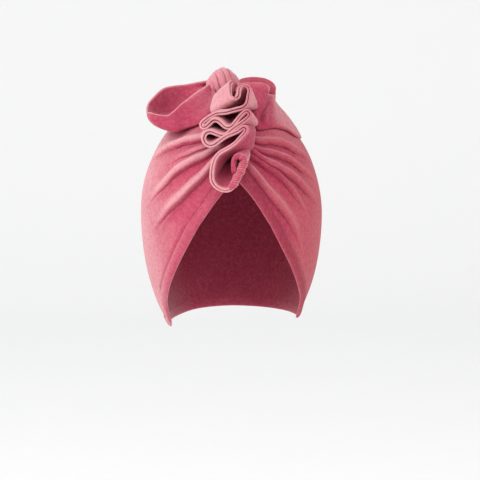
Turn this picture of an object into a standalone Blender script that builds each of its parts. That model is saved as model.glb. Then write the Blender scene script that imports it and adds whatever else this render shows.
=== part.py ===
"""Baby's turban headwrap in dusty rose velour, as it is worn.

A stretch cap with a rolled hem is gathered to the middle of the forehead, where a
pleated ruffle stands out from it, and a knotted bow with two cupped ears sits on top.
Metres, +Z up, -Y to the front.  The origin is the inside of the crown's top.
"""
import math

import bmesh
import bpy
import numpy as np

# Inside of the cap, measured from its widest level
HEAD_HALF_WIDTH = 0.0635
HEAD_FRONT = 0.0745
HEAD_BACK = 0.0785
CROWN_RISE = 0.082
JAW_DROP = 0.108

# Cloth and the clearances between sewn pieces
CLOTH = 0.002
GAP = 0.0009
SEAT = 0.0009
REST_SPAN = 3.0
WELD = 0.00001

# Folds that fan out from the ruffle
FOLD_RISE = 0.0046
FOLD_WIDTH = 0.0062
FOLD_UNDERSIDE = 0.7
FOLD_START = 5.0
FOLD_FULL = 13.0

# Rolled hem round the face and the nape
HEM_WIDTH = 0.0078
HEM_THICKNESS = 0.0040
HEM_GAP = 0.0009

# Ruffle: a doubled strip stood on edge and pleated from side to side
RUFFLE_WIDTH = 0.034
RUFFLE_HEIGHT = 0.072
RUFFLE_DEPTH = 0.026
RUFFLE_FOOT = -0.0560
RUFFLE_WALL = 0.0031
RUFFLE_GATHER = 0.62
RUFFLE_BASE_LOW = 31.0
RUFFLE_BASE_HIGH = 75.0
RUFFLE_SWELL = 0.010
RUFFLE_LIP = 0.03

# Bow: a pleated knot and two cupped ears
KNOT_WIDTH = 0.025
KNOT_DEPTH = 0.026
KNOT_HEIGHT = 0.0215
KNOT_SHIFT = -0.0055
KNOT_PLEATS = 4
KNOT_PLEAT_DEPTH = 0.0011
EAR_RISE = 0.024
BELLY_SAG = 0.15
EAR_ROOT = 0.0060
EAR_CLOTH = 0.0012

# The cap's lower edge: azimuth from the front, then its level left and right, in degrees
EDGE = [
    # azimuth, left, right
    (0, 22.5, 22.5),
    (10, 13.4, 13.4),
    (14.5, 8.6, 8.2),
    (19.5, 2.9, 2.0),
    (28.5, -6.2, -7.4),
    (40, -16.8, -17.4),
    (53, -27.9, -27.4),
    (60, -34.3, -32.2),
    (66, -43.0, -37.6),
    (73, -46.8, -41.4),
    (90, -46.9, -42.6),
    (120, -46.0, -43.4),
    (150, -44.6, -43.8),
    (180, -44.0, -44.0),
]

# Fold ridges: side, three points of each as azimuth and level in degrees, share of the rise
FOLDS = [
    # side, near, near level, middle, middle level, far, far level, rise
    (-1, 8, 47.0, 45, 40.5, 80, 28.0, 0.75),
    (-1, 8, 41.5, 37, 29.8, 64, 10.5, 1.00),
    (-1, 8, 37.5, 33, 14.2, 57, -1.0, 1.00),
    (1, 8, 46.5, 38, 44.6, 74, 31.5, 0.70),
    (1, 8, 41.0, 33, 37.0, 66, 15.0, 0.75),
    (1, 8, 38.8, 36, 26.4, 66, 7.5, 1.00),
    (1, 8, 35.8, 30, 22.8, 50, 2.5, 0.85),
    (1, 6, 31.5, 24, 17.2, 46, -5.5, 0.90),
]

# The ruffle's front edge: it runs round these circles as a belt round pulleys.  Places are
# shares of the width and height, radii shares of the width, turn +1 to the left, right and
# lift shares of RUFFLE_SWELL by which that fold bellies out half-way to the front edge.
PLEATS = [
    # name, across, up, radius, turn, right, lift
    ("end_top", -0.06, 0.995, 0.000, 1, -0.6, 0.0),
    ("curl", 0.00, 0.880, 0.092, 1, -0.9, 0.0),
    ("over", 0.21, 0.905, 0.105, -1, 0.7, 0.0),
    ("sweep", 0.06, 0.856, 0.235, -1, 0.0, 0.2),
    ("fall", -0.38, 0.700, 0.000, 1, -0.2, 1.0),
    ("left_upper", -0.63, 0.598, 0.060, 1, 0.2, 0.3),
    ("wave", -0.41, 0.587, 0.115, -1, 0.0, 0.2),
    ("dip", -0.165, 0.627, 0.100, 1, 0.1, 0.0),
    ("right_upper", 0.235, 0.690, 0.063, -1, 0.45, 0.0),
    ("sag", -0.26, 0.547, 0.082, -1, 0.3, 0.0),
    ("left_middle", -0.51, 0.473, 0.130, 1, -0.3, 0.0),
    ("right_middle", 0.15, 0.557, 0.058, -1, 0.75, -0.1),
    ("flank", -0.02, 0.448, 0.000, 1, 1.45, -0.8),
    ("shoulder", -0.03, 0.168, 0.490, 1, 0.6, -0.5),
    ("cup", -0.29, 0.128, 0.245, 1, -0.1, 0.0),
    ("curl_low", 0.030, 0.265, 0.105, 1, 0.5, -0.1),
    ("end_low", -0.07, 0.160, 0.000, 1, 0.2, 0.0),
]

# Ears of the bow.  Each rail runs outwards from the knot: azimuth and level in degrees, and
# rise off the cap as a share of EAR_RISE.  The cloth runs from the back edge down to the heel,
# under to the toe and up to the lip.
EAR_LEFT = {
    "back": [(-99, 71.2, 0.60), (-99, 65.8, 0.69), (-95, 61.1, 0.83), (-90, 56.7, 0.95),
             (-84, 51.7, 0.96), (-81, 48.0, 0.95), (-77, 45.4, 0.93)],
    "heel": [(-90, 71.0, 0.12), (-90, 65.0, 0.15), (-90, 57.8, 0.22), (-88, 52.0, 0.34),
             (-83, 47.0, 0.52), (-79, 44.8, 0.72)],
    "toe": [(-31, 61.5, 0.04), (-36, 54.5, 0.06), (-45, 48.5, 0.11), (-50, 44.8, 0.20),
            (-55, 43.2, 0.32), (-62, 42.4, 0.52), (-70, 42.7, 0.72)],
    "lip": [(-65, 69.5, 0.39), (-61, 62.8, 0.40), (-59, 56.7, 0.45), (-58, 51.5, 0.48),
            (-60, 48.0, 0.54), (-66, 46.0, 0.71), (-70, 45.0, 0.82)],
}
EAR_RIGHT = {
    "back": [(94, 81.3, 0.63), (101, 77.6, 0.69), (102, 73.4, 0.74), (102, 69.7, 0.74),
             (100, 66.7, 0.69), (99, 64.5, 0.56), (98, 60.0, 0.40), (99, 54.0, 0.30),
             (100, 48.0, 0.24), (99, 42.0, 0.20)],
    "heel": [(97, 79.0, 0.03), (100, 74.0, 0.03), (99, 69.0, 0.03), (97, 63.5, 0.03),
             (94, 57.0, 0.03), (92, 48.0, 0.03), (91, 40.5, 0.03)],
    "toe": [(32, 64.0, 0.13), (30, 56.0, 0.13), (31, 50.5, 0.14), (40, 50.5, 0.15),
            (49, 49.4, 0.15), (58, 47.2, 0.15), (68, 43.5, 0.14), (81, 40.0, 0.13)],
    "lip": [(49, 77.5, 0.56), (58, 74.1, 0.61), (62, 71.4, 0.63), (66, 69.3, 0.60),
            (72, 66.5, 0.49), (77, 62.0, 0.34), (80, 55.0, 0.26), (82, 48.0, 0.22),
            (85, 42.0, 0.20)],
}

# Where the back edge, the heel and the lip start at the knot's end: back and up in EAR_ROOTs
EAR_ROOTS = {"back": (0.9, 0.4), "heel": (0.9, -0.9), "lip": (-0.9, -0.2)}

# How finely the pieces are faceted
CAP_COLUMNS = 60
COLUMNS_TO_FRONT = 0.5
CAP_ROWS = 24
HEM_SIDES = 8
PLEAT_ARC_STEP = math.radians(34)
PLEAT_RUN_STEP = 0.0070
RUFFLE_ROWS = 5
KNOT_ROUND = 24
KNOT_ACROSS = 17
EAR_LONG = 14
EAR_ROUND = 14

VELOUR = (0.55, 0.135, 0.205, 1.0)
VELOUR_DEEP = (0.42, 0.075, 0.14, 1.0)


def curve_through(x, xs, ys):
    """Smooth curve through values or points: cubic between neighbours, slopes from both."""
    xs = np.asarray(xs, float)
    ys = np.asarray(ys, float)
    slopes = np.gradient(ys, xs, axis=0)
    i = np.clip(np.searchsorted(xs, x) - 1, 0, len(xs) - 2)
    shape = np.shape(x) + (1,) * (ys.ndim - 1)
    step = (xs[i + 1] - xs[i]).reshape(shape)
    t = np.clip((x - xs[i]).reshape(shape) / step, 0, 1)
    rise = t * t * (3 - 2 * t)
    return (ys[i] + (ys[i + 1] - ys[i]) * rise
            + step * (slopes[i] * t * (1 - t) ** 2 - slopes[i + 1] * t * t * (1 - t)))


def ease(low, high, x):
    """0 below low, 1 above high and a smooth step between them."""
    t = np.clip((x - low) / (high - low), 0, 1)
    return t * t * (3 - 2 * t)


def head_point(azimuth, level, out):
    """Point at an azimuth and level, in degrees, a distance out from the cap's inside.

    The inside is four quarter ovals joined at the widest level: it is longer behind than
    in front and deeper below than above.
    """
    a = np.radians(azimuth)
    e = np.radians(level)
    reach = np.where(np.cos(a) > 0, HEAD_FRONT, HEAD_BACK) + out
    height = np.where(e > 0, CROWN_RISE + out, JAW_DROP + out * JAW_DROP / CROWN_RISE)
    x = (HEAD_HALF_WIDTH + out) * np.cos(e) * np.sin(a)
    y = -reach * np.cos(e) * np.cos(a)
    return np.stack([x, y, -CROWN_RISE + height * np.sin(e)], axis=-1)


def head_place(points):
    """Azimuth, level and distance out of points above the widest level, by Newton's method."""
    x, y = points[:, 0], points[:, 1]
    z = np.maximum(points[:, 2] + CROWN_RISE, WELD)
    reach = np.where(y < 0, HEAD_FRONT, HEAD_BACK)
    out = np.zeros(len(points))
    for _ in range(12):
        a, b, c = HEAD_HALF_WIDTH + out, reach + out, CROWN_RISE + out
        excess = (x / a) ** 2 + (y / b) ** 2 + (z / c) ** 2 - 1
        slope = -2 * (x ** 2 / a ** 3 + y ** 2 / b ** 3 + z ** 2 / c ** 3)
        out = np.maximum(out - excess / slope, -0.5 * HEAD_HALF_WIDTH)
    azimuth = np.degrees(np.arctan2(x / (HEAD_HALF_WIDTH + out), -y / (reach + out)))
    level = np.degrees(np.arcsin(np.clip(z / (CROWN_RISE + out), -1, 1)))
    return azimuth, level, out


def edge_level(azimuth):
    """Level of the lower edge of the hem at an azimuth, both in degrees."""
    around, left, right = np.array(EDGE, float).T
    side = np.abs(azimuth)
    return np.where(azimuth < 0, curve_through(side, around, left), curve_through(side, around, right))


def hem_span(azimuth):
    """Level that the hem takes up, wider where its edge runs steeply so that it keeps its width."""
    step = 1.0
    slope = (edge_level(azimuth + step) - edge_level(azimuth - step)) / (2 * step)
    slope = np.where(np.abs(azimuth) < 2 * step, 1.1, slope)
    lean = np.sqrt(1 + (slope * CROWN_RISE / HEAD_FRONT) ** 2)
    flat = np.degrees(HEM_WIDTH / CROWN_RISE)
    return flat * np.minimum(lean, 2.2)


def fold_relief(azimuth, level):
    """Height of the folds: each ridge falls away gently above and steeply below."""
    height = np.zeros_like(azimuth, dtype=float)
    for side, near, near_level, middle, middle_level, far, far_level, rise in FOLDS:
        a = np.clip(side * azimuth, near, far)
        ridge = curve_through(a, (near, middle, far), (near_level, middle_level, far_level))
        lean = math.hypot(1, (near_level - far_level) / (far - near))
        d = np.radians(level - ridge) * CROWN_RISE / lean
        width = np.where(d > 0, FOLD_WIDTH, FOLD_WIDTH * FOLD_UNDERSIDE)
        fade = ease(FOLD_START, FOLD_FULL, side * azimuth) * (1 - ease(0.55 * far, 1.1 * far, side * azimuth))
        height = np.maximum(height, FOLD_RISE * rise * fade * np.exp(-(d / width) ** 2))
    return height


def clear_of_cap(points, clearance):
    """Points moved straight out, where they must, to lie a clearance off the cap's outside and off
    the highest fold within REST_SPAN of level."""
    azimuth, level, out = head_place(points)
    folds = [fold_relief(azimuth, level + shift) for shift in (-REST_SPAN, 0, REST_SPAN)]
    least = CLOTH + np.max(folds, axis=0) + clearance
    return np.where((out < least)[:, None], head_point(azimuth, level, least), points)


def bent_grid(name, shape, long_steps, cross_steps, material, wall=0.0, wall_side=1):
    """Object made from a flat grid bent by shape(u, v), each 0 to 1.

    A shape that closes on itself is a solid.  An open one gets a wall, on the side that its
    normal, across u and v by the right hand, points to, or on the other for wall_side -1.
    """
    bm = bmesh.new()
    bmesh.ops.create_grid(bm, x_segments=long_steps, y_segments=cross_steps, size=1.0)
    flat = (np.array([vert.co[:2] for vert in bm.verts]) + 1) / 2
    for vert, place in zip(bm.verts, shape(flat[:, 0], flat[:, 1])):
        vert.co = place
    bmesh.ops.remove_doubles(bm, verts=bm.verts, dist=WELD)
    if not wall:
        bmesh.ops.recalc_face_normals(bm, faces=bm.faces)
    mesh = bpy.data.meshes.new(name)
    bm.to_mesh(mesh)
    bm.free()
    mesh.materials.append(material)
    mesh.shade_smooth()
    piece = bpy.data.objects.new(name, mesh)
    if wall:
        solidify = piece.modifiers.new("cloth", "SOLIDIFY")
        solidify.thickness = wall
        solidify.offset = wall_side
    return piece


def column_azimuth(u):
    """Azimuth of the cap's and the hem's columns, from nape to nape and closest in front."""
    turn = 2 * u - 1
    return 180 * (turn - COLUMNS_TO_FRONT * np.sin(np.pi * turn) / np.pi)


def cap_shape(u, v):
    """Inside of the cap: u goes round from the nape, closer spaced in front, v up to the crown."""
    azimuth = column_azimuth(u)
    low = edge_level(azimuth) + hem_span(azimuth) * (1 + HEM_GAP / HEM_WIDTH)
    level = low + (90 - low) * (0.64 * v + 0.36 * v ** 6)
    return head_point(azimuth, level, fold_relief(azimuth, level))


def hem_shape(u, v):
    """Rolled hem: u goes round the face and the nape, v round its oval section."""
    azimuth = column_azimuth(u)
    phase = 2 * np.pi * v
    level = edge_level(azimuth) + hem_span(azimuth) * (0.5 - 0.5 * np.cos(phase))
    return head_point(azimuth, level, HEM_THICKNESS * (0.5 + 0.5 * np.sin(phase)))


def pleat_path():
    """Points of the ruffle's front edge, as across, up and the two shares of swell: arcs round the
    circles and the straight runs that touch both neighbours, each cut into steps.  The swell
    changes evenly from the middle of one arc to the middle of the next."""
    across, up, radius, turn, right, lift = np.array([row[1:] for row in PLEATS], float).T
    centres = np.stack([across * RUFFLE_WIDTH, RUFFLE_FOOT + up * RUFFLE_HEIGHT], axis=-1)
    signed = turn * radius * RUFFLE_WIDTH
    spans = np.diff(centres, axis=0)
    lengths = np.hypot(spans[:, 0], spans[:, 1])
    heading = np.arctan2(spans[:, 1], spans[:, 0]) - np.arcsin(np.diff(signed) / lengths)
    points, middles = [centres[0]], [0]
    for i in range(1, len(PLEATS)):
        left = np.array([-math.sin(heading[i - 1]), math.cos(heading[i - 1])])
        start = centres[i - 1] - signed[i - 1] * left
        stop = centres[i] - signed[i] * left
        steps = max(1, math.ceil(np.hypot(*(stop - start)) / PLEAT_RUN_STEP))
        points.extend(start + (stop - start) * k / steps for k in range(1, steps + 1))
        sweep, steps = 0, 0
        if signed[i]:
            sweep = (turn[i] * (heading[i] - heading[i - 1])) % (2 * math.pi)
            steps = max(1, math.ceil(sweep / PLEAT_ARC_STEP))
        middles.append(len(points) - 1 + steps / 2)
        for k in range(1, steps + 1):
            angle = heading[i - 1] + turn[i] * sweep * k / steps
            points.append(centres[i] + signed[i] * np.array([math.sin(angle), -math.cos(angle)]))
    index = np.arange(len(points))
    return np.column_stack([points, np.interp(index, middles, right), np.interp(index, middles, lift)])


def ruffle_point(path, depth):
    """Place in the ruffle: the path's row tells where its front edge is, seen from the front; depth
    0 is the gathered base on the cap and 1 the free edge, RUFFLE_DEPTH off the cap."""
    across, up, right, lift = path.T
    reach = CLOTH + RUFFLE_DEPTH
    height = (up + CROWN_RISE) / (CROWN_RISE + reach)
    width = across / (HEAD_HALF_WIDTH + reach)
    y = -(HEAD_FRONT + reach) * np.sqrt(np.maximum(1 - height ** 2 - width ** 2, 0.02))
    front = np.stack([across, y, up], axis=-1)
    share = (up - RUFFLE_FOOT) / RUFFLE_HEIGHT
    level = RUFFLE_BASE_LOW + (RUFFLE_BASE_HIGH - RUFFLE_BASE_LOW) * share
    side = RUFFLE_GATHER * across / (HEAD_HALF_WIDTH * np.cos(np.radians(level)))
    base = head_point(np.degrees(np.arcsin(np.clip(side, -0.9, 0.9))), level, CLOTH + SEAT)
    place = base + (front - base) * depth[:, None]
    swell = RUFFLE_SWELL * np.sin(np.pi * np.clip(depth, 0, 1))
    place[:, 0] += swell * right
    place[:, 2] += swell * lift
    return place


def ruffle_shape(u, v):
    """Ruffle: u runs along the pleats, v round the strip's section, out on one face and back on
    the other.  The strip thins towards the gathered base and at its two ends."""
    path = pleat_path()
    last = len(path) - 1
    stations = 2 * RUFFLE_ROWS + 4
    station = np.rint(v * stations)
    from_base = np.minimum(station, stations - station)
    depth = np.clip((from_base - 1) / RUFFLE_ROWS, 0, 1 + RUFFLE_LIP)
    on_face = (from_base > 0) & (from_base < RUFFLE_ROWS + 2)
    face = np.where(on_face, np.sign(RUFFLE_ROWS + 2 - station), 0)
    ends = np.sin(np.pi * np.clip(np.minimum(u, 1 - u) * 30, 0, 0.5))
    half = 0.5 * RUFFLE_WALL * ends * (0.45 + 0.55 * ease(0, 0.4, depth))

    def at(shift, depth):
        place = np.clip(u * last + shift, 0, last)
        rows = [np.interp(place, np.arange(last + 1), column) for column in path.T]
        return ruffle_point(np.stack(rows, axis=-1), depth)

    middle = at(0, depth)
    normal = np.cross(at(0.5, depth) - at(-0.5, depth), middle - at(0, depth - 0.05))
    normal /= np.linalg.norm(normal, axis=1)[:, None]
    return clear_of_cap(middle + normal * (face * half)[:, None], SEAT)


def knot_shape(u, v):
    """Knot: a pleated barrel lying across the crown, u round it and v from end to end."""
    phase = 2 * np.pi * u
    end = np.abs(2 * v - 1)
    swell = np.sqrt(1 - end ** 2.3)
    pleat = 1 + KNOT_PLEAT_DEPTH / (0.5 * KNOT_HEIGHT) * np.cos(2 * np.pi * KNOT_PLEATS * (v - u))
    x = KNOT_SHIFT + KNOT_WIDTH * (v - 0.5)
    y = 0.5 * KNOT_DEPTH * swell * pleat * np.cos(phase)
    z = CLOTH + 0.5 * KNOT_HEIGHT * (1 + swell * pleat * np.sin(phase))
    return clear_of_cap(np.stack([x, y, z], axis=-1), SEAT)


def ear_shape(table, side):
    """Returns the outside of a cupped ear: u goes out from the knot, v from the back edge down,
    along the cap and up to the lip.  Each section is a smooth curve through five rails, the middle
    one sagging between heel and toe, and the rails start at the knot's end."""
    hub = np.array([KNOT_SHIFT + side * (0.5 * KNOT_WIDTH + GAP), 0.0, CLOTH + 0.5 * KNOT_HEIGHT])
    across = np.array([0.0, 0.27, 0.5, 0.76, 1.0])

    def rail(name, u):
        azimuth, level, rise = np.array(table[name]).T
        points = head_point(azimuth, level, CLOTH + SEAT + EAR_RISE * rise)
        if name in EAR_ROOTS:
            points = np.vstack([hub + EAR_ROOT * np.array([0, *EAR_ROOTS[name]]), points])
        return curve_through(u, np.linspace(0, 1, len(points)), points)

    def shape(u, v):
        back, heel, toe, lip = (rail(name, u) for name in ("back", "heel", "toe", "lip"))
        belly = 0.5 * (heel + toe)
        belly[:, 2] -= BELLY_SAG * EAR_RISE
        rails = np.array([back, heel, clear_of_cap(belly, SEAT), toe, lip])
        slopes = np.gradient(rails, across, axis=0)
        i = np.clip(np.searchsorted(across, v) - 1, 0, len(across) - 2)
        own = np.arange(len(u))
        step = np.diff(across)[i][:, None]
        t = (v - across[i])[:, None] / step
        rise = t * t * (3 - 2 * t)
        place = (rails[i, own] * (1 - rise) + rails[i + 1, own] * rise
                 + step * (slopes[i, own] * t * (1 - t) ** 2 - slopes[i + 1, own] * t * t * (1 - t)))
        return clear_of_cap(place, SEAT)

    return shape


def velour(name, colour):
    """Soft, matt pile fabric in one colour."""
    material = bpy.data.materials.new(name)
    material.use_nodes = True
    shader = material.node_tree.nodes["Principled BSDF"]
    shader.inputs["Base Color"].default_value = colour
    shader.inputs["Roughness"].default_value = 0.9
    shader.inputs["Metallic"].default_value = 0.0
    shader.inputs["Sheen Weight"].default_value = 0.5
    return material


for leftover in list(bpy.data.objects):
    bpy.data.objects.remove(leftover, do_unlink=True)

turban = bpy.data.collections.new("turban_headwrap")
bpy.context.scene.collection.children.link(turban)

pieces = [
    bent_grid("crown_cap", cap_shape, CAP_COLUMNS, CAP_ROWS, velour("cap_velour", VELOUR), CLOTH),
    bent_grid("rolled_hem", hem_shape, CAP_COLUMNS, HEM_SIDES, velour("hem_velour", VELOUR)),
    bent_grid("front_ruffle", ruffle_shape, len(pleat_path()) - 1, 2 * RUFFLE_ROWS + 4,
              velour("ruffle_velour", VELOUR)),
    bent_grid("bow_knot", knot_shape, KNOT_ROUND, KNOT_ACROSS, velour("knot_velour", VELOUR)),
    bent_grid("bow_ear_left", ear_shape(EAR_LEFT, -1), EAR_LONG, EAR_ROUND,
              velour("ear_left_velour", VELOUR_DEEP), EAR_CLOTH),
    bent_grid("bow_ear_right", ear_shape(EAR_RIGHT, 1), EAR_LONG, EAR_ROUND,
              velour("ear_right_velour", VELOUR_DEEP), EAR_CLOTH, -1),
]
for piece in pieces:
    turban.objects.link(piece)
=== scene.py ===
import math

import bmesh
import bpy
import mathutils
import numpy as np
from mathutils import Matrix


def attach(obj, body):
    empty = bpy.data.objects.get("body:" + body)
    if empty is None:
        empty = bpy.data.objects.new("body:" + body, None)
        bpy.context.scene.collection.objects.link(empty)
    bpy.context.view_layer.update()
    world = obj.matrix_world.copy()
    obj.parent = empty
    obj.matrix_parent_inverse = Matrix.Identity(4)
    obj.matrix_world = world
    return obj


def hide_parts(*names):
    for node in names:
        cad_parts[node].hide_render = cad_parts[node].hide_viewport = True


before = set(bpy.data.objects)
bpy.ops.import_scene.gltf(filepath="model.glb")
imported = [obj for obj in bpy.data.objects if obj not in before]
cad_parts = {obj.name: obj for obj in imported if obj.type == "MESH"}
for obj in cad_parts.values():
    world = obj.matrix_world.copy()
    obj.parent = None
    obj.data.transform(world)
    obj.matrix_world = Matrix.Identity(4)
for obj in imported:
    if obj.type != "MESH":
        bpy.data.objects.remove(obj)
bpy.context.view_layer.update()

# The cap.  A stretch cap of cotton velour, pile outwards, gathered to the middle of its
# front, so that rolls of cloth fan out from there to both sides.  It is one surface round
# the cap's hollow, with a wall of cloth laid outside it.
HEAD_HALF_WIDTH = 0.0635
HEAD_FRONT = 0.0745
HEAD_BACK = 0.0785
CROWN_RISE = 0.082
JAW_DROP = 0.108
CLOTH = 0.002
FOLD_RISE = 0.0046
FOLD_WIDTH = 0.0042
FOLD_STEEPER_BELOW = 0.34
FOLD_WANDER = 0.5
CREASE_DEPTH = 0.0010
# in widths of its fold: how far below the ridge the crease lies, how wide it is, and how far
# its shadow reaches up, and down at the left and at the right
CREASE_BELOW_RIDGE = 0.56
CREASE_WIDTH = 0.24
SHADOW_UP = 0.30
SHADOW_DOWN = {-1: 0.95, 1: 2.1}

# azimuth from the front, level of the hem's lower edge at the left and at the right, degrees
EDGE = np.array([
    (0, 22.5, 22.5), (10, 13.4, 13.4), (14.5, 8.6, 8.2), (19.5, 2.9, 2.0), (28.5, -6.2, -7.4),
    (40, -16.8, -17.4), (53, -27.9, -27.4), (60, -34.3, -32.2), (66, -42.0, -37.6),
    (73, -45.6, -41.4), (90, -46.2, -42.6), (120, -46.0, -43.4), (150, -44.6, -43.8),
    (180, -44.0, -44.0)], float)

# side, three points of a fold's ridge as azimuth and level, share of the rise and of the width
FOLDS = [
    (-1, 8, 45.6, 45, 40.6, 86, 28.5, 0.80, 1.05),
    (-1, 8, 43.0, 30, 37.0, 50, 29.5, 0.28, 0.55),
    (-1, 8, 38.8, 37, 27.0, 66, 8.3, 1.00, 0.90),
    (-1, 8, 35.4, 33, 14.4, 58, -2.3, 1.00, 0.95),
    (1, 8, 43.0, 38, 40.2, 76, 27.5, 0.70, 0.95),
    (1, 8, 38.6, 33, 33.3, 68, 19.0, 0.80, 0.75),
    (1, 8, 37.2, 36, 23.9, 68, 7.0, 1.00, 0.90),
    (1, 8, 34.9, 30, 22.6, 52, 2.2, 0.75, 0.70),
    (1, 6, 30.5, 24, 12.4, 47, -9.3, 0.95, 0.90),
]


def curve_through(x, xs, ys):
    """Cubic between neighbouring points, each point's slope taken from both its neighbours."""
    xs = np.asarray(xs, float)
    ys = np.asarray(ys, float)
    slopes = np.gradient(ys, xs, axis=0)
    i = np.clip(np.searchsorted(xs, x) - 1, 0, len(xs) - 2)
    more = (1,) * (ys.ndim - 1)
    step = (xs[i + 1] - xs[i]).reshape(np.shape(x) + more)
    t = np.clip((x - xs[i]).reshape(np.shape(x) + more) / step, 0, 1)
    rise = t * t * (3 - 2 * t)
    return (ys[i] + (ys[i + 1] - ys[i]) * rise
            + step * (slopes[i] * t * (1 - t) ** 2 - slopes[i + 1] * t * t * (1 - t)))


def ease(low, high, x):
    """0 below low, 1 above high and a smooth step between them."""
    t = np.clip((x - low) / (high - low), 0, 1)
    return t * t * (3 - 2 * t)


def ripple(*phases):
    """Slow, uneven wave between about -1 and 1: sines of unlike lengths added together."""
    total = 0.0
    for k, phase in enumerate(phases):
        total = total + np.sin(phase + 1.7 * k) * 0.62 ** k
    return total / 1.6


def head_point(azimuth, level, out):
    """Four quarter ovals joined at the widest level, longer behind than in front and deeper
    below than above: azimuth and level in degrees, out the distance off the inside."""
    a = np.radians(azimuth)
    e = np.radians(level)
    reach = np.where(np.cos(a) > 0, HEAD_FRONT, HEAD_BACK) + out
    height = np.where(e > 0, CROWN_RISE + out, JAW_DROP + out * JAW_DROP / CROWN_RISE)
    x = (HEAD_HALF_WIDTH + out) * np.cos(e) * np.sin(a)
    y = -reach * np.cos(e) * np.cos(a)
    return np.stack(np.broadcast_arrays(x, y, -CROWN_RISE + height * np.sin(e)), axis=-1)


def edge_level(azimuth):
    """Level of the hem's lower edge at an azimuth."""
    side = np.abs(azimuth)
    return np.where(azimuth < 0, curve_through(side, EDGE[:, 0], EDGE[:, 1]),
                    curve_through(side, EDGE[:, 0], EDGE[:, 2]))


HEM_WIDTH = 0.0078
PEAK_SLOPE = 1.1
STEEPEST_LEAN = 2.2


def hem_span(azimuth):
    """Level that the hem takes up: more where its edge runs steeply, so its width stays.  At
    the face opening's peak, where the slope changes sign, one slope is taken throughout."""
    step = 1.0
    slope = (edge_level(azimuth + step) - edge_level(azimuth - step)) / (2 * step)
    slope = np.where(np.abs(azimuth) < 2 * step, PEAK_SLOPE, slope)
    lean = np.sqrt(1 + (slope * CROWN_RISE / HEAD_FRONT) ** 2)
    return np.degrees(HEM_WIDTH / CROWN_RISE) * np.minimum(lean, STEEPEST_LEAN)


def fold_relief(azimuth, level):
    """Height of the folds, and how much a place lies in their shadow, 0 to 1.  Across its ridge
    a fold falls away as a bell curve, three times steeper below than above, and ends below in
    a narrow crease, whose shadow thins out downwards, further at the right than at the left;
    along its ridge it wanders a little, rises out of the ruffle's seam and fades towards the
    side of the cap."""
    height = np.zeros(np.broadcast(azimuth, level).shape)
    crease = np.zeros_like(height)
    shadow = np.zeros_like(height)
    for side, near, near_level, middle, middle_level, far, far_level, rise, width in FOLDS:
        along = side * azimuth
        a = np.clip(along, near, far)
        ridge = curve_through(a, (near, middle, far), (near_level, middle_level, far_level))
        ridge = ridge + FOLD_WANDER * ripple(a / 5.0, a / 2.3, side * a / 8.1)
        lean = math.hypot(1, (near_level - far_level) / (far - near))
        d = np.radians(level - ridge) * CROWN_RISE / lean
        bell = FOLD_WIDTH * width * (0.75 + 0.5 * ease(near, far, along))
        fade = ease(4, 12, along) * (1 - ease(0.55 * far, 1.05 * far, along))
        profile = np.exp(-(d / np.where(d > 0, bell, FOLD_STEEPER_BELOW * bell)) ** 2)
        height = np.maximum(height, FOLD_RISE * rise * fade * profile)
        off_crease = (d + CREASE_BELOW_RIDGE * bell) / bell
        crease = np.maximum(crease, fade * np.exp(-(off_crease / CREASE_WIDTH) ** 2))
        reach = np.where(off_crease < 0, SHADOW_DOWN[side], SHADOW_UP)
        shadow = np.maximum(shadow, fade * np.exp(-(off_crease / reach) ** 2))
    return height - CREASE_DEPTH * crease, shadow


def unit(vectors):
    """Vectors brought to length 1."""
    return vectors / np.maximum(np.linalg.norm(vectors, axis=-1, keepdims=True), 1e-12)


def surface_normal(points):
    """Normals of a grid of points: its column step crossed with its row step."""
    return unit(np.cross(np.gradient(points, axis=1), np.gradient(points, axis=0)))


RIM_STEPS = 5


def cloth_wall(middle, thickness, ends=0, inner_step=1):
    """Closed wall of cloth about a middle surface of rows by columns.  One face lies half a
    thickness along the normal and the other half against it, and half circles of RIM_STEPS
    rows join them at the first and the last row.  Over the number of columns that ends gives
    the thickness runs out at each end as a half circle does, so that the wall closes there
    too.  Its rows wrap, and of the second face's rows one in inner_step stays."""
    columns = middle.shape[1]
    from_end = np.minimum(np.arange(columns), np.arange(columns)[::-1])
    taper = np.sqrt(1 - (1 - np.clip(from_end / ends, 0, 1)) ** 2) if ends else np.ones(columns)
    half = np.broadcast_to(0.5 * thickness * taper, middle.shape[:2])[..., None]
    normal = surface_normal(middle)
    across = unit(np.gradient(middle, axis=0))
    bend = np.linspace(0, np.pi, RIM_STEPS + 2)[1:-1, None, None]
    far = middle[-1] + half[-1] * (np.cos(bend) * normal[-1] + np.sin(bend) * across[-1])
    near = middle[0] - half[0] * (np.cos(bend) * normal[0] + np.sin(bend) * across[0])
    return np.concatenate([middle + normal * half, far, (middle - normal * half)[::-inner_step], near])


WELD = 0.00001


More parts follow.
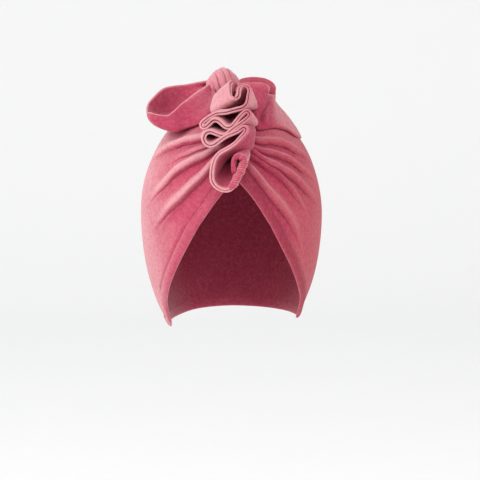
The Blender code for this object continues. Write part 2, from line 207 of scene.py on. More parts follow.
def grid_mesh(name, points, wrap_rows=True, wrap_columns=False, hollow=0.0022, reach=(1, 2, 4, 7),
              shade=0.0):
    """Mesh on a grid of points, with a quad between each four neighbours, its last row or
    column joined to the first where it wraps, and turned so that it faces outwards.  Points
    that lie on each other are welded.

    Its attribute, which carries painted shade and painted highlight, is 0.5 plus the distance
    that a point stands proud of the mean of those about it, as a share of hollow: low, as
    painted shade, in a crease and high, as a painted highlight, on a ridge.  The mean is over
    the points that lie as many steps off as reach names.  Where shade is more than 0 the
    attribute is brought down to 0 by that share, as painted shade, and where less, up to 1, as
    a painted highlight."""
    rows, columns = points.shape[:2]
    index = np.arange(rows * columns).reshape(rows, columns)
    if wrap_rows:
        index = np.vstack([index, index[:1]])
    if wrap_columns:
        index = np.hstack([index, index[:, :1]])
    quads = np.stack([index[:-1, :-1], index[:-1, 1:], index[1:, 1:], index[1:, :-1]], axis=-1)
    quads = quads.reshape(-1, 4)
    flat = points.reshape(-1, 3)
    a, b, c, d = (flat[quads[:, k]] for k in range(4))
    volume = np.sum(np.cross(c - a, d - b) * (a + b + c + d))
    outwards = np.sign(volume)
    if outwards < 0:
        quads = quads[:, ::-1]
    mean = np.zeros_like(points)
    for axis, wraps in ((0, wrap_rows), (1, wrap_columns)):
        for shift in reach:
            pad = [(0, 0)] * 3
            pad[axis] = (shift, shift)
            padded = np.pad(points, pad, mode="wrap" if wraps else "edge")
            size = points.shape[axis]
            mean += np.take(padded, np.arange(size), axis=axis)
            mean += np.take(padded, np.arange(size) + 2 * shift, axis=axis)
    mean /= 4 * len(reach)
    next_column, last_column = (np.roll(points, step, axis=1) for step in (-1, 1))
    next_row, last_row = (np.roll(points, step, axis=0) for step in (-1, 1))
    normal = outwards * unit(np.cross(next_column - last_column, next_row - last_row))
    proud = np.sum((points - mean) * normal, axis=-1)
    mesh = bpy.data.meshes.new(name)
    mesh.vertices.add(len(flat))
    mesh.vertices.foreach_set("co", flat.astype(np.float32).ravel())
    mesh.loops.add(quads.size)
    mesh.loops.foreach_set("vertex_index", quads.astype(np.int32).ravel())
    mesh.polygons.add(len(quads))
    mesh.polygons.foreach_set("loop_start", np.arange(0, quads.size, 4, dtype=np.int32))
    mesh.update(calc_edges=True)
    painted_light = mesh.attributes.new("painted_light", "FLOAT", "POINT")
    lit = np.clip(0.5 + proud / hollow, 0, 1)
    lit = lit + np.abs(shade) * (np.less(shade, 0) - lit)
    painted_light.data.foreach_set("value", lit.astype(np.float32).ravel())
    welded = bmesh.new()
    welded.from_mesh(mesh)
    bmesh.ops.remove_doubles(welded, verts=welded.verts, dist=WELD)
    welded.to_mesh(mesh)
    welded.free()
    mesh.shade_smooth()
    return mesh


def place(name, mesh, material, *nodes):
    """Object for a mesh, in the scene, riding on the turban and standing for the nodes named."""
    piece = bpy.data.objects.new(name, mesh)
    piece.data.materials.append(material)
    bpy.context.scene.collection.objects.link(piece)
    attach(piece, "root")
    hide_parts(*nodes)
    return piece


# the pile's colours: painted shade down in a crease, its own flat lay, painted shade on the
# side away from the window, a painted glint on a tuft that catches the light, and the painted
# highlight and sheen on ridges and along its tips
CREASE_SHADE = (0.25, 0.010, 0.043)
MIDDLE = (0.37, 0.048, 0.090)
SHADED_SIDE = (0.34, 0.042, 0.046)
BRIGHT = (0.56, 0.135, 0.185)
SHEEN_HIGHLIGHT = (0.64, 0.37, 0.385)
# cells of noise to the metre
PATCHES = 38.0
FLECKS = 420.0
GRAIN = 1500.0
# how far off a neighbouring wall still shades the pile
NEARBY = 0.014


def velour(name, far_side_shade=0.0):
    """Cotton velour: a short dense pile, with painted shade where one looks into it and a
    painted sheen along its tips.

    Colour goes from a painted crease shade to middle with slow patches of brushed pile, with
    the mesh's painted light and shade attribute and with painted shade where nearby walls
    close a place in.  Ridges go on to a painted highlight, least on the side away from the
    window.  Tufts, where the flecks and the grain are both high, go to bright, a painted glint,
    in open places, and between tufts it stays middle.  Open places go to a painted sheen at a
    grazing angle.  On the side away from the window, towards +X, painted shade keeps it warm
    and dark, by the share that the second argument gives.  Flecks and grain are in the bump too.
    """
    material = bpy.data.materials.new(name)
    material.use_nodes = True
    nodes = material.node_tree.nodes
    links = material.node_tree.links
    shader = nodes["Principled BSDF"]
    shader.inputs["Roughness"].default_value = 0.88
    shader.inputs["Specular IOR Level"].default_value = 0.15
    shader.inputs["Sheen Weight"].default_value = 0.12
    shader.inputs["Sheen Roughness"].default_value = 0.38
    shader.inputs["Sheen Tint"].default_value = (1.0, 0.66, 0.71, 1.0)
    coordinates = nodes.new("ShaderNodeTexCoord").outputs["Object"]

    def noise(scale, detail, roughness=0.55):
        node = nodes.new("ShaderNodeTexNoise")
        node.inputs["Scale"].default_value = scale
        node.inputs["Detail"].default_value = detail
        node.inputs["Roughness"].default_value = roughness
        links.new(coordinates, node.inputs["Vector"])
        return node.outputs["Fac"]

    def spread(value, low, high, to_low, to_high):
        node = nodes.new("ShaderNodeMapRange")
        limits = {"From Min": low, "From Max": high, "To Min": to_low, "To Max": to_high}
        for socket, number in limits.items():
            node.inputs[socket].default_value = number
        links.new(value, node.inputs["Value"])
        return node.outputs["Result"]

    def combine(operation, a, b):
        node = nodes.new("ShaderNodeMath")
        node.operation = operation
        links.new(a, node.inputs[0])
        links.new(b, node.inputs[1])
        node.use_clamp = operation != "MULTIPLY"
        return node.outputs[0]

    def mix(share, a, b):
        node = nodes.new("ShaderNodeMix")
        node.data_type = "RGBA"
        links.new(share, node.inputs["Factor"])
        for socket, colour in (("A", a), ("B", b)):
            target = [i for i in node.inputs if i.name == socket and i.type == "RGBA"][0]
            if isinstance(colour, tuple):
                target.default_value = (*colour, 1.0)
            else:
                links.new(colour, target)
        return [o for o in node.outputs if o.type == "RGBA"][0]

    patches = spread(noise(PATCHES, 3.0), 0.32, 0.68, 0.0, 1.0)
    grain = spread(noise(GRAIN, 2.0, 0.7), 0.30, 0.70, 0.0, 1.0)
    flecks = spread(noise(FLECKS, 3.0, 0.7), 0.34, 0.66, 0.0, 1.0)
    # painted light and shade from the mesh: low, painted shade, in creases and high, painted highlight, on
    # ridges
    painted_light = nodes.new("ShaderNodeAttribute")
    painted_light.attribute_name = "painted_light"
    height = painted_light.outputs["Fac"]
    # painted shade where nearby walls close a place in
    nearby = nodes.new("ShaderNodeAmbientOcclusion")
    nearby.samples = 8
    nearby.inputs["Distance"].default_value = NEARBY
    open_share = spread(nearby.outputs["AO"], 0.20, 0.72, 0.0, 1.0)
    brushed_lay = spread(patches, 0.0, 1.0, 0.60, 1.0)
    lay = combine("MULTIPLY", brushed_lay, spread(height, 0.05, 0.62, 0.0, 1.0))
    # painted shade on the side away from the window, towards +X, by the share that the second argument
    # gives
    place_x = nodes.new("ShaderNodeSeparateXYZ")
    links.new(coordinates, place_x.inputs["Vector"])
    away = spread(place_x.outputs["X"], 0.0, 0.055, 0.0, far_side_shade)
    body = mix(combine("MULTIPLY", lay, open_share), CREASE_SHADE, mix(away, MIDDLE, SHADED_SIDE))
    # painted highlight on ridges, least on the side away from the window
    near_window = spread(place_x.outputs["X"], -0.004, 0.014, 1.0, 0.10)
    ridge = combine("MULTIPLY", spread(height, 0.58, 1.0, 0.0, 0.85), near_window)
    body = mix(ridge, body, SHEEN_HIGHLIGHT)
    tufts = combine("MULTIPLY", grain, flecks)
    lit_tufts = spread(tufts, 0.0, 0.6, 0.0, 0.42)
    body = mix(lit_tufts, body, mix(open_share, MIDDLE, BRIGHT))
    # painted sheen: the pale colour at grazing angles, on open, lifted places, least on the far side
    weight = nodes.new("ShaderNodeLayerWeight")
    weight.inputs["Blend"].default_value = 0.42
    painted_sheen = spread(weight.outputs["Facing"], 0.22, 0.90, 0.0, 0.85)
    painted_sheen = combine("MULTIPLY", painted_sheen, spread(away, 0.0, 1.0, 1.0, 0.0))
    painted_sheen = combine("MULTIPLY", painted_sheen, spread(height, 0.0, 0.5, 0.15, 1.0))
    painted_sheen = combine("MULTIPLY", painted_sheen, open_share)
    between_tufts = spread(tufts, 0.0, 0.42, 0.42, 0.0)
    links.new(mix(between_tufts, mix(painted_sheen, body, SHEEN_HIGHLIGHT), MIDDLE), shader.inputs["Base Color"])
    bump = nodes.new("ShaderNodeBump")
    bump.inputs["Strength"].default_value = 0.55
    bump.inputs["Distance"].default_value = 0.0006
    grain_height = spread(grain, 0.0, 1.0, 0.0, 0.45)
    fleck_height = spread(flecks, 0.0, 1.0, 0.0, 0.45)
    links.new(combine("ADD", grain_height, fleck_height), bump.inputs["Height"])
    links.new(bump.outputs["Normal"], shader.inputs["Normal"])
    return material


CAP_ROUND = 330
CAP_UP = 217
CAP_CLOSER_IN_FRONT = 0.55
INNER_STEP = 3
SLACK = 0.0004
OVERLAP = 3

# columns round the cap, closest in front, and rows from under the hem up to the crown, where
# they lie further apart; the columns overlap while the wall is laid, so that no seam shows
turn = np.linspace(-1, 1, CAP_ROUND, endpoint=False)[None, :]
azimuth = 180 * (turn - CAP_CLOSER_IN_FRONT * np.sin(np.pi * turn) / np.pi)
up = np.linspace(0, 1, CAP_UP)[:, None]
low = edge_level(azimuth) + hem_span(azimuth) * 0.5
level = low + (90 - low) * (0.66 * up + 0.34 * up ** 4)
relief, shadow = fold_relief(azimuth, level)
around = np.radians(azimuth)
waves = ripple(around * 5 + level / 17, level / 9 - around * 3, around * 11 + level / 5)
slack = SLACK * ease(0, 0.1, up) * waves
middle = head_point(azimuth, level, 0.5 * CLOTH + relief + slack)
wrapped = np.concatenate([middle[:, -OVERLAP:], middle, middle[:, :OVERLAP]], axis=1)
wall = cloth_wall(wrapped, CLOTH, inner_step=INNER_STEP)[:, OVERLAP:-OVERLAP]
# painted shade on the cap: in the folds' creases and the shadow below them, and along the hem, under it
# and just above it
under_hem = 1 - ease(0.9, 1.35, (level - edge_level(azimuth)) / hem_span(azimuth))
shade = np.zeros(wall.shape[:2])
shade[:CAP_UP] = np.maximum(0.9 * shadow, 0.8 * under_hem)
cap_mesh = grid_mesh("cap", wall, wrap_columns=True, hollow=0.0030, reach=(2, 4, 7, 11), shade=shade)
cap_cloth = velour("cap_velour", far_side_shade=0.85)
cap = place("cap", cap_mesh, cap_cloth, "crown_cap")

# The hem.  The cap's edge turned under and stitched: a soft flat roll round the face opening
# and the nape, crossed by the fine ribs of its seam.
HEM_THICKNESS = 0.0036
HEM_THINNER_BELOW = 0.25
HEM_INNER = 0.9
HEM_RIB = 0.00045
RIB_PITCH = 0.0018
HEM_LONG = 2400
HEM_ROUND = 22
HEM_CLOSER_IN_FRONT = 0.35

turn = np.linspace(-1, 1, HEM_LONG, endpoint=False)[None, :]
azimuth = 180 * (turn - HEM_CLOSER_IN_FRONT * np.sin(np.pi * turn) / np.pi)
phase = np.linspace(0, 2 * np.pi, HEM_ROUND, endpoint=False)[:, None]
edge = head_point(azimuth, edge_level(azimuth), 0.0)
run = np.cumsum(np.linalg.norm(np.diff(edge, axis=1, prepend=edge[:, -1:]), axis=-1), axis=1)
level = edge_level(azimuth) + hem_span(azimuth) * (0.5 - 0.5 * np.cos(phase))
steepness = np.gradient(edge[..., 2], axis=1) / np.gradient(run, axis=1)
square = run + np.radians(level - edge_level(azimuth)) * CROWN_RISE * steepness
rib = (HEM_RIB * np.cos(2 * np.pi * square / RIB_PITCH + 0.6 * ripple(run / 0.004))
       * np.maximum(np.sin(phase), 0) * (0.15 + 0.85 * ease(-5, 5, azimuth)))
swell = 1 + 0.12 * ripple(run / 0.013, run / 0.007)
thickness = HEM_THICKNESS * (1 - HEM_THINNER_BELOW * ease(50, 75, np.abs(azimuth)))
out = 0.5 * thickness * (1 + np.where(np.sin(phase) > 0, swell, HEM_INNER) * np.sin(phase))
# painted shade: a dark line along the hem's upper edge, where the cap meets it, and in the grooves between
# its ribs
hem_top_shade = 0.85 * ease(0.50, 0.85, -np.cos(phase))
shade = np.maximum(hem_top_shade, 0.75 * ease(0.3, -0.7, rib / HEM_RIB))
hem_mesh = grid_mesh("hem", head_point(azimuth, level, out + rib), wrap_columns=True,
                     hollow=0.0012, reach=(1, 2, 3), shade=shade)
hem = place("hem", hem_mesh, velour("hem_velour", far_side_shade=0.75), "rolled_hem")

# The ruffle.  A strip of the same velour doubled lengthwise, pleated from side to side and
# sewn on edge down the middle of the cap's front, its two raw edges standing out in front.
RUFFLE_WIDTH = 0.034
RUFFLE_HEIGHT = 0.072
RUFFLE_DEPTH = 0.026
RUFFLE_FOOT = -0.0560
RUFFLE_SWELL = 0.010
RUFFLE_GATHER = 0.62
RUFFLE_BASE_LOW = 31.0
RUFFLE_BASE_HIGH = 75.0
LAYER = 0.0015
LAYER_APART = 0.0019
LAYER_APART_VARIES = 0.18
FLUTTER = 0.00065
DEPTH_WAVE = 0.0007
STRIP_STEPS = 520
DEPTH_STEPS = 30
FOOT_TUCK = 0.03

# The front edge runs round these circles as a belt round pulleys: place across in widths and
# up in heights, radius in widths, turn +1 to the left, and how far the strip bellies to the
# right and up half-way out, in RUFFLE_SWELLs
PLEATS = [
    ("end_top", -0.012, 0.982, 0.000, 1, -0.6, -0.3),
    ("hook", -0.050, 0.960, 0.040, 1, -1.0, -0.3),
    ("curl", -0.008, 0.880, 0.090, 1, -1.3, -0.6),
    ("over", 0.21, 0.905, 0.105, -1, 0.8, -0.9),
    ("sweep", 0.06, 0.856, 0.235, -1, 0.2, 0.0),
    ("fall", -0.36, 0.705, 0.000, 1, 0.1, 0.15),
    ("left_upper", -0.63, 0.598, 0.060, 1, 0.3, 0.0),
    ("wave", -0.41, 0.587, 0.115, -1, 0.0, 0.2),
    ("dip", -0.165, 0.627, 0.100, 1, 0.1, 0.0),
    ("right_upper", 0.235, 0.690, 0.063, -1, 0.65, -0.6),
    ("sag", -0.26, 0.547, 0.082, -1, 0.3, 0.0),
    ("left_middle", -0.51, 0.473, 0.130, 1, -0.3, 0.0),
    ("right_middle", 0.15, 0.557, 0.058, -1, 0.60, -0.1),
    ("flank", -0.02, 0.448, 0.000, 1, 1.15, -0.8),
    ("shoulder", -0.02, 0.168, 0.480, 1, 0.6, -0.5),
    ("cup", -0.265, 0.122, 0.235, 1, -0.1, 0.0),
    ("curl_low", 0.030, 0.265, 0.105, 1, 0.5, -0.1),
    ("end_low", -0.07, 0.160, 0.000, 1, 0.2, 0.0),
]


def belt_path(arc_step=0.14):
    """The belt: straight runs that touch both neighbouring circles and arcs round them, as
    rows of across, up and the two bellies, which change evenly from the middle of one arc to
    the middle of the next."""
    across, up, radius, turn, right, lift = np.array([row[1:] for row in PLEATS], float).T
    centres = np.stack([across * RUFFLE_WIDTH, RUFFLE_FOOT + up * RUFFLE_HEIGHT], axis=-1)
    signed = turn * radius * RUFFLE_WIDTH
    spans = np.diff(centres, axis=0)
    heading = np.arctan2(spans[:, 1], spans[:, 0]) - np.arcsin(np.diff(signed) / np.hypot(*spans.T))
    arcs = [centres[:1]]
    for i in range(1, len(PLEATS) - 1):
        sweep = (turn[i] * (heading[i] - heading[i - 1])) % (2 * math.pi) if signed[i] else 0
        angle = heading[i - 1] + turn[i] * np.linspace(0, sweep, 2 + int(sweep / arc_step))
        arcs.append(centres[i] - signed[i] * np.stack([-np.sin(angle), np.cos(angle)], axis=-1))
    arcs.append(centres[-1:])
    path = np.vstack(arcs)
    run = np.concatenate([[0], np.cumsum(np.hypot(*np.diff(path, axis=0).T))])
    counts = np.array([len(arc) for arc in arcs])
    middles = np.interp(np.cumsum(counts) - (counts + 1) / 2, np.arange(len(path)), run)
    return np.column_stack([path, np.interp(run, middles, right), np.interp(run, middles, lift)])


def evenly(path, count, softening=0):
    """A path's points set out again at even distances along its first two columns, and each
    then moved a few times to the mean of itself and its neighbours."""
    run = np.concatenate([[0], np.cumsum(np.hypot(*np.diff(path[:, :2], axis=0).T))])
    at = np.linspace(0, run[-1], count)
    even = np.stack([np.interp(at, run, column) for column in path.T], axis=-1)
    for _ in range(softening):
        even[1:-1] = 0.25 * even[:-2] + 0.5 * even[1:-1] + 0.25 * even[2:]
    return even, run[-1]


def ruffle_middle(path, depth):
    """Middle of the strip.  Depth 0 is its gathered foot on the cap and 1 its free edge,
    RUFFLE_DEPTH off the cap, where it follows the path as seen from the front."""
    across, up, right, lift = path.T
    reach = CLOTH + RUFFLE_DEPTH
    high = (up + CROWN_RISE) / (CROWN_RISE + reach)
    wide = across / (HEAD_HALF_WIDTH + reach)
    y = -(HEAD_FRONT + reach) * np.sqrt(np.maximum(1 - high ** 2 - wide ** 2, 0.02))
    free = np.stack([across, y, up], axis=-1)
    share = (up - RUFFLE_FOOT) / RUFFLE_HEIGHT
    level = RUFFLE_BASE_LOW + (RUFFLE_BASE_HIGH - RUFFLE_BASE_LOW) * share
    side = RUFFLE_GATHER * across / (HEAD_HALF_WIDTH * np.cos(np.radians(level)))
    foot = head_point(np.degrees(np.arcsin(np.clip(side, -0.9, 0.9))), level, CLOTH)
    place = foot + (free - foot) * depth[:, None, None]
    bow = RUFFLE_SWELL * np.sin(np.pi * np.clip(depth, 0, 1))[:, None]
    place[..., 0] += bow * right
    place[..., 2] += bow * lift
    return place


path, strip_length = evenly(belt_path(), STRIP_STEPS, softening=7)
run = np.linspace(0, strip_length, STRIP_STEPS)
along_strip = run / strip_length
depth = np.linspace(-FOOT_TUCK, 1, DEPTH_STEPS)
middle = ruffle_middle(path, depth)
normal = surface_normal(middle)

# the free edge flutters from side to side and stands out unevenly, and the two layers part
# from the foot outwards
free_share = ease(0.2, 1.0, depth)[:, None]
flutter = FLUTTER * free_share * ripple(run / 0.0048, run / 0.0027)
depth_wave = DEPTH_WAVE * free_share * ripple(run / 0.0058, run / 0.0031)
off_cap = unit(np.gradient(middle, axis=0))
middle = middle + normal * flutter[..., None] + off_cap * depth_wave[..., None]
apart = 0.5 * LAYER_APART * (0.4 + 0.6 * ease(0, 0.4, depth))[:, None]
ruffle_cloth = velour("ruffle_velour")
faces = (DEPTH_STEPS, RIM_STEPS, DEPTH_STEPS, RIM_STEPS)
rows = np.concatenate([depth, np.ones(RIM_STEPS), depth[::-1], np.zeros(RIM_STEPS)])[:, None]
for label, side in (("left", -1), ("right", 1)):
    away = side * apart * (1 + LAYER_APART_VARIES * ripple(run / 0.006 + side))
    layer = cloth_wall(middle + normal * away[..., None], LAYER, ends=6)
    # painted shade, deep in colour: the inside of the lowest pleat's cup, and the turned-in lower end
    cup_face = np.repeat((0.0, 0.0, float(label == "left"), 0.0), faces)[:, None]
    pleat_shade = cup_face * ease(0.56, 0.64, along_strip) * (1 - ease(0.95, 0.99, rows))
    pleat_shade = np.maximum(pleat_shade, ease(0.92, 0.95, along_strip))
    # painted shade near the foot on the cap, and a painted highlight towards the free edge and its rims
    shade = 0.5 * (1 - ease(0.1, 0.5, rows)) - 0.55 * ease(0.35, 0.7, rows)
    mesh = grid_mesh("ruffle_" + label, layer, shade=shade * (1 - pleat_shade) + 0.95 * pleat_shade)
    strip = place("ruffle_" + label, mesh, ruffle_cloth, "front_ruffle")

# The seam roll.  The strip's lower end turned in and overcast: a lumpy roll of gathered
# velour that lies in the lowest pleat's cup.
ROLL_START = 0.86
ROLL_DEPTH = 0.98
ROLL_RADIUS = 0.0028
ROLL_LONG = 360
ROLL_ROUND = 40

own = along_strip > ROLL_START
coarse = ruffle_middle(path[own], np.array([ROLL_DEPTH]))[0]
share = np.linspace(0, 1, ROLL_LONG)
core = curve_through(share, np.linspace(0, 1, len(coarse)), coarse)
along = unit(np.gradient(core, axis=0))
beside = unit(np.cross(along, (0.0, 1.0, 0.0)))
ahead = np.cross(beside, along)
phase = np.linspace(0, 2 * np.pi, ROLL_ROUND, endpoint=False)[:, None]
gathers = ripple(share * 55 + np.sin(phase), share * 31 - np.cos(phase),
                 share * 17 + 2 * np.sin(phase + 1))
stitches = np.sin(share * 190 + 3 * phase + 3 * ripple(share * 23))
lumps = 1 + 0.12 * gathers + 0.07 * stitches
radius = ROLL_RADIUS * lumps * np.sqrt(1 - (2 * share - 1) ** 6) * (1 - 0.55 * ease(0.60, 0.85, share))
roll = core + radius[..., None] * (np.cos(phase)[..., None] * beside + np.sin(phase)[..., None] * ahead)
# painted shade over the whole roll, deeper towards its inner end
roll_mesh = grid_mesh("ruffle_seam", roll, hollow=0.0011, shade=0.15 + 0.5 * ease(0.5, 0.8, share))
seam_roll = place("ruffle_seam", roll_mesh, ruffle_cloth, "front_ruffle")

# The knot.  A band of the same velour wound once over the middle of the bow, from the back to
# the front, so that its pleats run across it.
KNOT_WIDTH = 0.0250
KNOT_DEPTH = 0.026
KNOT_HEIGHT = 0.0225
KNOT_SHIFT = -0.0055
KNOT_SINK = 0.001
KNOT_PLEATS = 5
KNOT_PLEAT_DEPTH = 0.0010
KNOT_ROUND = 200
KNOT_LONG = 140

# round its upper half the band swells to a point, and round its lower half to an oval
phase = np.linspace(0, 2 * np.pi, KNOT_ROUND, endpoint=False)[None, :]
along = np.linspace(0, 1, KNOT_LONG)[:, None]
end = np.abs(2 * along - 1)
lower = 0.5 - 0.5 * np.sin(phase)
swell = (1 - end ** 1.7) ** 0.75 * (1 - lower) + np.sqrt(1 - end ** 2.6) * lower
slant = along - phase / (2 * np.pi) + 0.03 * np.sin(2 * phase + 1) + 0.02 * ripple(along * 21)
crease = np.abs(np.cos(np.pi * KNOT_PLEATS * slant)) ** 0.55
pleat = 1 + KNOT_PLEAT_DEPTH / (0.5 * KNOT_HEIGHT) * (2 * crease - 1.3)
x = KNOT_SHIFT + KNOT_WIDTH * (along - 0.5)
y = 0.5 * KNOT_DEPTH * swell * pleat * np.cos(phase)
z = CLOTH + 0.5 * KNOT_HEIGHT * (1 + swell * pleat * np.sin(phase)) - KNOT_SINK
knot_points = np.stack(np.broadcast_arrays(x, y, z), axis=-1)
# painted highlight: the knot's colour lifted all over towards the pale ridge colour
knot_mesh = grid_mesh("knot", knot_points, wrap_rows=False, wrap_columns=True, shade=-0.65)
knot = place("knot", knot_mesh, velour("knot_velour"), "bow_knot")

# The bow's ears.  Each is a wide loop of velour pinched into the knot: the cloth runs from
# its back edge down to the cap, forward under the open cup and up to the front lip.
EAR_CLOTH = 0.0015
EAR_RISE = 0.024
EAR_OFF_CAP = 0.0011
EAR_CLEARANCE = 0.0002
EAR_ROOT = 0.0060
BELLY_SAG = 0.15
GATHER_DEPTH = 0.0013
EAR_WAVE = 0.0006
EAR_LONG = 150
EAR_ROWS = 120
EAR_LIP_LIFT = 0.0016
# where each rail leaves the knot, back and up from its middle in EAR_ROOTs
EAR_ROOTS = {"back": (0.7, 0.25), "heel": (0.7, -0.8), "toe": (-0.8, -0.9), "lip": (-0.9, -0.25)}

# a ridge pinched down the front of the right ear, through these heights and places across,
# and the groove beside it
PINCH_UP = (-0.0170, -0.0097, -0.0026, 0.0056)
PINCH_ACROSS = (0.0195, 0.0185, 0.0243, 0.0275)
PINCH_RISE = 0.0020
PINCH_WIDTH = 0.0020
GROOVE_SHARE = 0.8
GROOVE_AWAY = 0.0032
GROOVE_WIDTH = 0.0012

# each rail runs outwards from the knot: azimuth, level, rise off the cap in EAR_RISEs
EAR_LEFT = {
    "back": [(-98, 76.4, 0.55), (-99, 71.2, 0.60), (-99, 65.8, 0.69), (-95, 61.1, 0.83), (-90, 56.7, 0.95),
             (-84, 51.7, 0.96), (-81, 48.0, 0.95), (-77, 45.4, 0.93)],
    "heel": [(-90, 71.9, 0.20), (-90, 65.4, 0.18), (-90, 58.1, 0.24), (-88, 52.4, 0.35),
             (-82, 47.6, 0.52), (-78, 45.1, 0.74)],
    "toe": [(-26, 70.0, 0.06), (-24, 60.0, 0.05), (-33, 53.0, 0.05), (-46, 48.0, 0.10), (-50, 44.8, 0.20),
            (-55, 43.2, 0.31), (-62, 42.4, 0.50), (-68, 42.5, 0.69), (-73, 43.3, 0.82)],
    "lip": [(-70, 74.5, 0.38), (-65, 69.5, 0.39), (-61, 62.8, 0.40), (-59, 56.7, 0.45), (-58, 51.5, 0.48),
            (-60, 48.0, 0.52), (-66, 46.0, 0.69), (-71, 45.2, 0.83), (-75, 44.7, 0.90)],
}
EAR_RIGHT = {
    "back": [(66, 86.8, 0.42), (84, 83.7, 0.53), (94, 81.2, 0.59), (101, 77.4, 0.65), (102, 73.2, 0.70),
             (102, 70.4, 0.71), (101, 68.2, 0.69), (100, 66.6, 0.64), (100, 65.6, 0.57), (101, 65.6, 0.42),
             (103, 63.5, 0.28), (104, 60.0, 0.17), (102, 55.5, 0.11), (98, 50.5, 0.07), (93, 46.0, 0.04),
             (88, 42.6, 0.02)],
    "heel": [(97, 79.0, 0.03), (100, 74.0, 0.03), (99, 69.0, 0.03), (98, 63.5, 0.0),
             (96, 57.0, 0.0), (92, 48.5, 0.0), (87, 42.2, 0.0)],
    "toe": [(20, 66.0, 0.05), (18, 56.0, 0.04), (22, 50.0, 0.03), (31, 50.2, 0.04), (40, 50.5, 0.05),
            (49, 49.4, 0.05), (57, 47.4, 0.05), (63, 44.7, 0.04), (70, 42.4, 0.04), (79, 41.0, 0.04)],
    "lip": [(20, 82.3, 0.42), (32, 80.8, 0.47), (49, 77.4, 0.53), (58, 74.0, 0.59), (61, 71.5, 0.62),
            (65, 69.6, 0.60), (68, 68.4, 0.52), (71, 67.5, 0.43), (76, 65.8, 0.35), (80, 63.5, 0.25),
            (86, 60.3, 0.18), (88, 56.5, 0.14), (90, 51.4, 0.09), (89, 47.6, 0.05), (88, 44.0, 0.02),
            (86, 41.8, 0.0)],
}


def head_place(points):
    """Azimuth, level and distance out of points above the widest level, by Newton's method."""
    x, y = points[..., 0], points[..., 1]
    z = np.maximum(points[..., 2] + CROWN_RISE, 1e-5)
    reach = np.where(y < 0, HEAD_FRONT, HEAD_BACK)
    out = np.zeros(x.shape)
    for _ in range(12):
        a, b, c = HEAD_HALF_WIDTH + out, reach + out, CROWN_RISE + out
        excess = (x / a) ** 2 + (y / b) ** 2 + (z / c) ** 2 - 1
        slope = -2 * (x ** 2 / a ** 3 + y ** 2 / b ** 3 + z ** 2 / c ** 3)
        out = np.maximum(out - excess / slope, -0.5 * HEAD_HALF_WIDTH)
    azimuth = np.degrees(np.arctan2(x / (HEAD_HALF_WIDTH + out), -y / (reach + out)))
    return azimuth, np.degrees(np.arcsin(np.clip(z / (CROWN_RISE + out), -1, 1))), out


def clear_of_cap(points, clearance):
    """Points moved straight out, where they must, to lie a clearance off the cap's outside."""
    azimuth, level, out = head_place(points)
    least = CLOTH + np.maximum(fold_relief(azimuth, level)[0], 0) + clearance
    return np.where((out < least)[..., None], head_point(azimuth, level, least), points)


def ear_middle(table, side, columns, rows):
    """An ear's cloth: columns outwards from the knot, rows from the back edge round to the lip,
    through five rails of which the middle one sags between heel and toe.  At the tip the
    rails close to one point."""
    hub = np.array([KNOT_SHIFT + side * 0.36 * KNOT_WIDTH, 0.0, CLOTH + 0.5 * KNOT_HEIGHT])
    out = np.linspace(0, 1, columns)
    rails = {}
    for name, places in table.items():
        azimuth, level, rise = np.array(places).T
        rail = head_point(azimuth, level, CLOTH + EAR_OFF_CAP + EAR_RISE * rise)
        rail = np.vstack([hub + EAR_ROOT * np.array([0, *EAR_ROOTS[name]]), rail])
        rails[name] = curve_through(out, np.linspace(0, 1, len(rail)), rail)
    belly = 0.5 * (rails["heel"] + rails["toe"])
    belly[:, 2] -= BELLY_SAG * EAR_RISE * ease(0, 0.2, out)
    along = np.stack([rails["back"], rails["heel"], belly, rails["toe"], rails["lip"]])
    tip = along[:, -1].mean(axis=0)
    closing = (1 - np.sqrt(1 - ease(0.80, 1.0, out) ** 2))[:, None]
    along = along + (tip - along) * closing
    middle = curve_through(np.linspace(0, 1, rows), (0.0, 0.27, 0.5, 0.76, 1.0), along)
    return middle, out


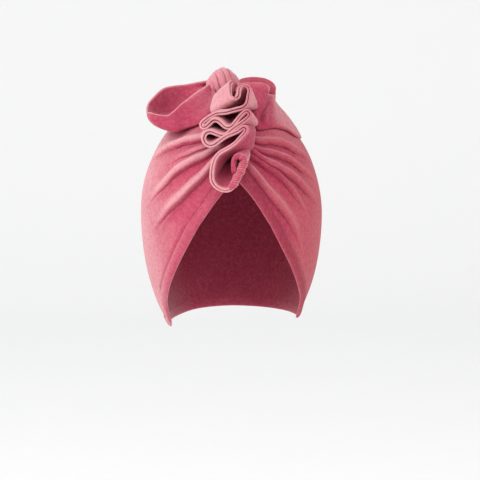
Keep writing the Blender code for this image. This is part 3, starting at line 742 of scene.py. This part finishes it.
for label, table, side, pleats, flat in (("left", EAR_LEFT, -1, 5.5, (0.085, 0.055)),
                                         ("right", EAR_RIGHT, 1, 4.5, (0.085, 0.070))):
    middle, out = ear_middle(table, side, EAR_LONG, EAR_ROWS)
    round_ear = np.linspace(0, 1, EAR_ROWS)[:, None]
    lift = ease(0.74, 0.88, round_ear) if label == "right" else 0
    clearance = 0.5 * EAR_CLOTH + EAR_CLEARANCE + EAR_LIP_LIFT * lift * (1 - ease(0.72, 0.95, out))
    middle = clear_of_cap(middle, clearance)

    # gathers that die out from the knot, and slow waves further out
    gathers = GATHER_DEPTH * np.cos(2 * np.pi * pleats * round_ear + 3 * out) * np.exp(-(out / 0.26) ** 2)
    waves = EAR_WAVE * ripple(round_ear * 9 + out * 4, out * 11 - round_ear * 5) * ease(0.1, 0.4, out)
    if label == "right":
        up = middle[..., 2]
        away = middle[..., 0] - curve_through(up.ravel(), PINCH_UP, PINCH_ACROSS).reshape(up.shape)
        front = ease(0.76, 0.84, round_ear) * (1 - ease(0.006, 0.010, up))
        groove = GROOVE_SHARE * np.exp(-((away - GROOVE_AWAY) / GROOVE_WIDTH) ** 2)
        waves = waves - PINCH_RISE * front * (np.exp(-(away / PINCH_WIDTH) ** 2) - groove)
    fading = (1 - ease(0.9, 1.0, out))[:, None]
    middle = middle + surface_normal(middle) * (gathers + waves)[..., None] * fading
    wall = cloth_wall(middle, EAR_CLOTH, ends=5)

    # painted shade, deep in colour: the outside, but for the drape at the right, and there the cup's
    # inside;
    # painted highlight, pale: the wall's edges, with a border along the right ear's back edge
    border = 0.065 if label == "right" else 0.0
    rows = np.concatenate([round_ear, np.ones((RIM_STEPS, 1)), round_ear[::-1], np.zeros((RIM_STEPS, 1))])
    which = (side < 0, 0.0, side > 0, 0.0)
    cup = np.repeat(which, (EAR_ROWS, RIM_STEPS, EAR_ROWS, RIM_STEPS))[:, None]
    cup = cup * ease(border, border + 0.05, rows)
    rim = (1 - cup) * np.maximum(1 - ease(border, border + 0.03, rows), ease(0.97, 1, rows))
    inside, outside = (0.0, 0.60) if side < 0 else (1.0, 0.95)
    drape = (side > 0) * ease(0.45, 0.6, out)
    shade = inside * cup - 0.6 * rim + outside * (1 - cup) * (1 - rim) * (1 - drape)
    mesh = grid_mesh("ear_" + label, wall, shade=shade * np.ones_like(out))
    ear = place("ear_" + label, mesh, velour("ear_velour_" + label, far_side_shade=0.45), "bow_ear_" + label)

# The room: a pale floor well below the turban, which sweeps up into a wall behind it, a tall
# window to the left, soft fill and the camera at the photograph's angle.
CAMERA_PLACE = (-0.0542, -1.2415, 0.0530)
CAMERA_AIM = (0.00652, -0.00028, -0.10085)
CAMERA_LENS = 129.3
LAMP_AIM = (0, 0, -0.07)
FLOOR = -0.60
FLOOR_WIDTH = 30.0
SWEEP_START = 2.5
SWEEP_RADIUS = 2.0
WALL_HEIGHT = 12.0

# its profile is flat, then a quarter circle, then upright
quarter = np.radians(np.linspace(0, 90, 33))
swept_y = SWEEP_START + SWEEP_RADIUS * np.sin(quarter)
swept_z = SWEEP_RADIUS * (1 - np.cos(quarter))
profile_y = np.concatenate([[-0.5 * FLOOR_WIDTH], swept_y, [SWEEP_START + SWEEP_RADIUS]])[:, None]
profile_z = np.concatenate([[0], swept_z, [WALL_HEIGHT]])[:, None] + FLOOR
sides = np.array([[0.5, -0.5]]) * FLOOR_WIDTH
swept = np.stack(np.broadcast_arrays(sides, profile_y, profile_z), axis=-1)
floor = bpy.data.objects.new("floor", grid_mesh("floor", swept, wrap_rows=False))
bpy.context.scene.collection.objects.link(floor)
plaster = bpy.data.materials.new("pale_floor")
plaster.use_nodes = True
plaster_shader = plaster.node_tree.nodes["Principled BSDF"]
plaster_shader.inputs["Base Color"].default_value = (0.845, 0.845, 0.85, 1)
plaster_shader.inputs["Roughness"].default_value = 0.7
floor.data.materials.append(plaster)


def aim(thing, target):
    """Turn a light or the camera to look at a place."""
    direction = mathutils.Vector(target) - thing.location
    thing.rotation_euler = direction.to_track_quat("-Z", "Y").to_euler()


for name, where, size, power, colour in (
        ("window", (-1.7, -1.0, 0.8), 1.8, 27, (1.0, 1.0, 0.99)),
        ("front_fill", (0.3, -1.9, 0.9), 1.2, 10, (1.0, 0.98, 0.96)),
        ("right_bounce", (1.4, -0.6, 0.3), 0.9, 3, (1.0, 0.86, 0.74))):
    light = bpy.data.lights.new(name, "AREA")
    light.size = size
    light.energy = power
    light.color = colour
    lamp = bpy.data.objects.new(name, light)
    lamp.location = where
    bpy.context.scene.collection.objects.link(lamp)
    aim(lamp, LAMP_AIM)

world = bpy.data.worlds.new("white_room")
world.use_nodes = True
background = world.node_tree.nodes["Background"]
background.inputs["Color"].default_value = (0.93, 0.94, 0.93, 1)
background.inputs["Strength"].default_value = 0.78
bpy.context.scene.world = world
bpy.context.scene.view_settings.view_transform = "Standard"
bpy.context.scene.view_settings.exposure = 0.46

camera_data = bpy.data.cameras.new("camera")
camera_data.lens = CAMERA_LENS
camera_data.sensor_width = 36
camera = bpy.data.objects.new("camera", camera_data)
camera.location = CAMERA_PLACE
bpy.context.scene.collection.objects.link(camera)
aim(camera, CAMERA_AIM)
bpy.context.scene.camera = camera
